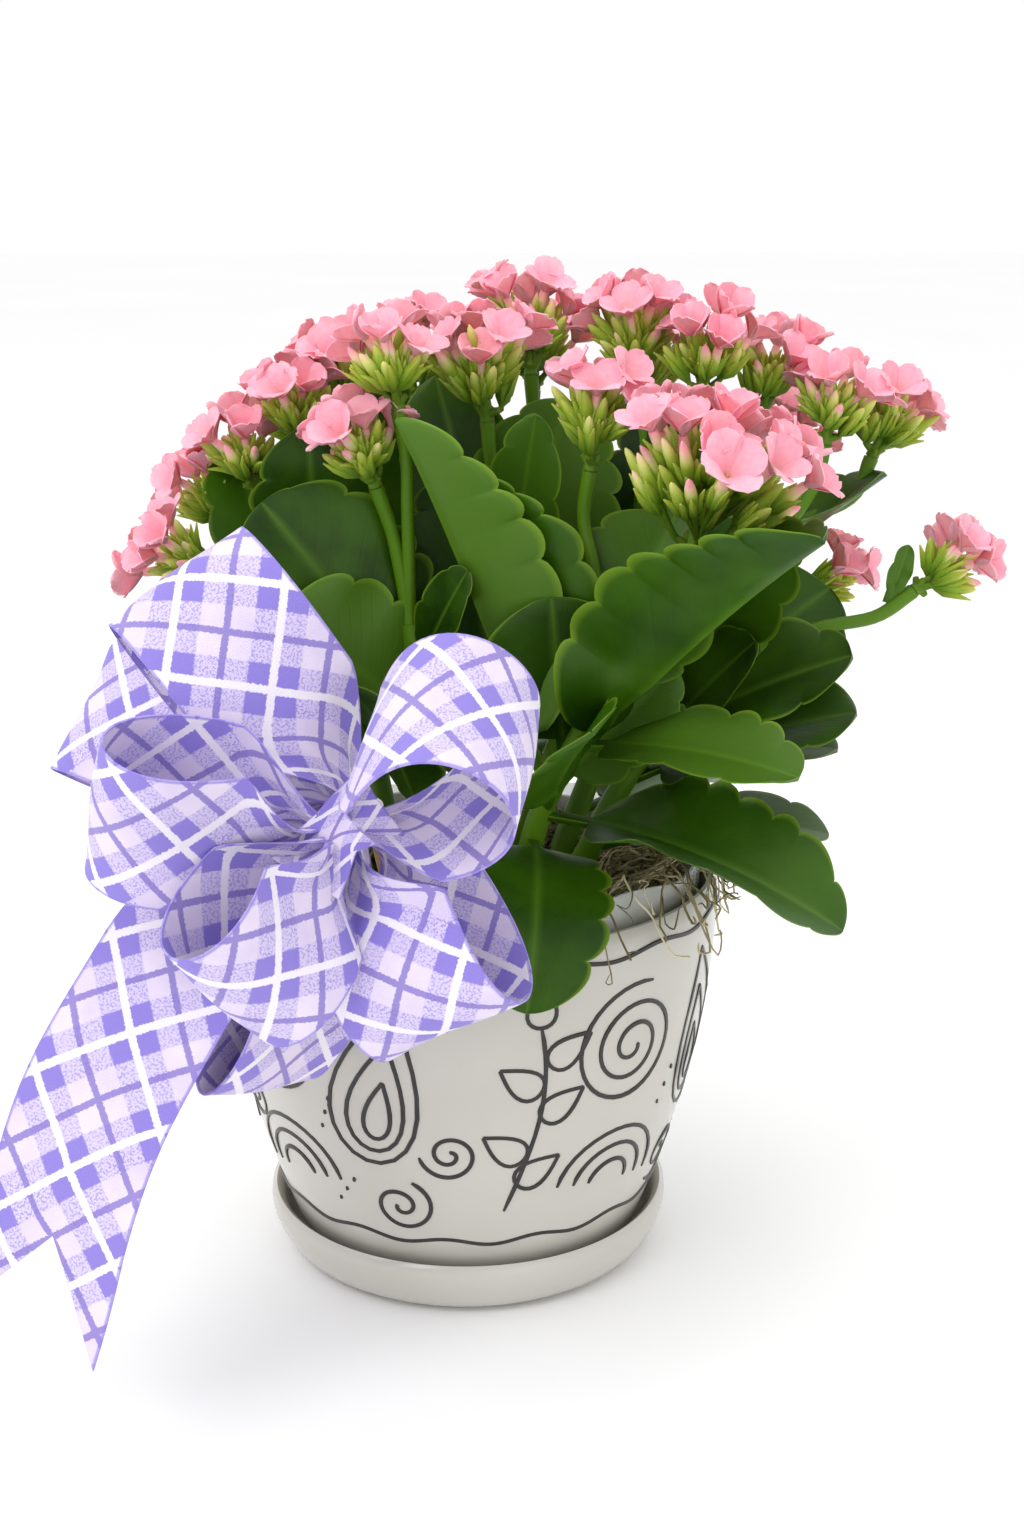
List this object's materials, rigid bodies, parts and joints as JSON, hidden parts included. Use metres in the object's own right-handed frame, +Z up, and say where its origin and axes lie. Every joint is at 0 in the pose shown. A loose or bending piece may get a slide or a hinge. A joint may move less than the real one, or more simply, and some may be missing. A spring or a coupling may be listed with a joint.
{
  "type": "flowering kalanchoe in a pot",
  "caption": "Potted kalanchoe with scalloped leaves and domed heads of small pink flowers, in a tapered glazed pot on a saucer, with moss and a wide ribbon bow.",
  "frame": {"origin": "centre of the saucer's flat foot, where the object rests", "axes": "+Z up along the pot's axis, -Y towards the front where the bow hangs, +X to the plant's right as the picture shows it"},
  "size_m": [0.2593, 0.2479, 0.2718],
  "materials": {
    "white_glaze": "satin",
    "clear_film": "clear, glossy",
    "soil": "loose, matt",
    "moss": "dry, fibrous",
    "leaf": "waxy, satin",
    "flower": "soft, matt",
    "ribbon": "woven plaid",
    "pick_wood": "plain"
  },
  "bodies": {
    "root": {"saucer": "white_glaze", "pot": "white_glaze", "liner": "clear_film", "soil": "soil", "moss": "moss", "leafy_stem_front": "leaf", "leafy_stem_right": "leaf", "leafy_stem_right_back": "leaf", "leafy_stem_middle": "leaf", "leafy_stem_crown": "leaf", "leafy_stem_left_front": "leaf", "leafy_stem_left": "leaf", "leafy_stem_left_back": "leaf", "leafy_stem_back": "leaf", "flower_head_01": "flower", "flower_head_02": "flower", "flower_head_03": "flower", "flower_head_04": "flower", "flower_head_05": "flower", "flower_head_06": "flower", "flower_head_07": "flower", "flower_head_08": "flower", "flower_head_09": "flower", "flower_head_10": "flower", "flower_head_11": "flower", "flower_head_12": "flower", "flower_head_13": "flower", "flower_head_14": "flower", "flower_head_15": "flower", "flower_head_16": "flower", "flower_head_17": "flower", "flower_head_18": "flower", "flower_head_19": "flower", "flower_head_20": "flower", "flower_head_21": "flower", "flower_head_22": "flower", "flower_head_23": "flower", "bow_loop_upper_left": "ribbon", "bow_loop_small_left": "ribbon", "bow_loop_middle_left": "ribbon", "bow_loop_upper_right": "ribbon", "bow_loop_lower_front": "ribbon", "bow_loop_lower_right": "ribbon", "bow_tail": "ribbon", "bow_tie": "ribbon", "bow_pick": "pick_wood"}
  },
  "joints": []
}
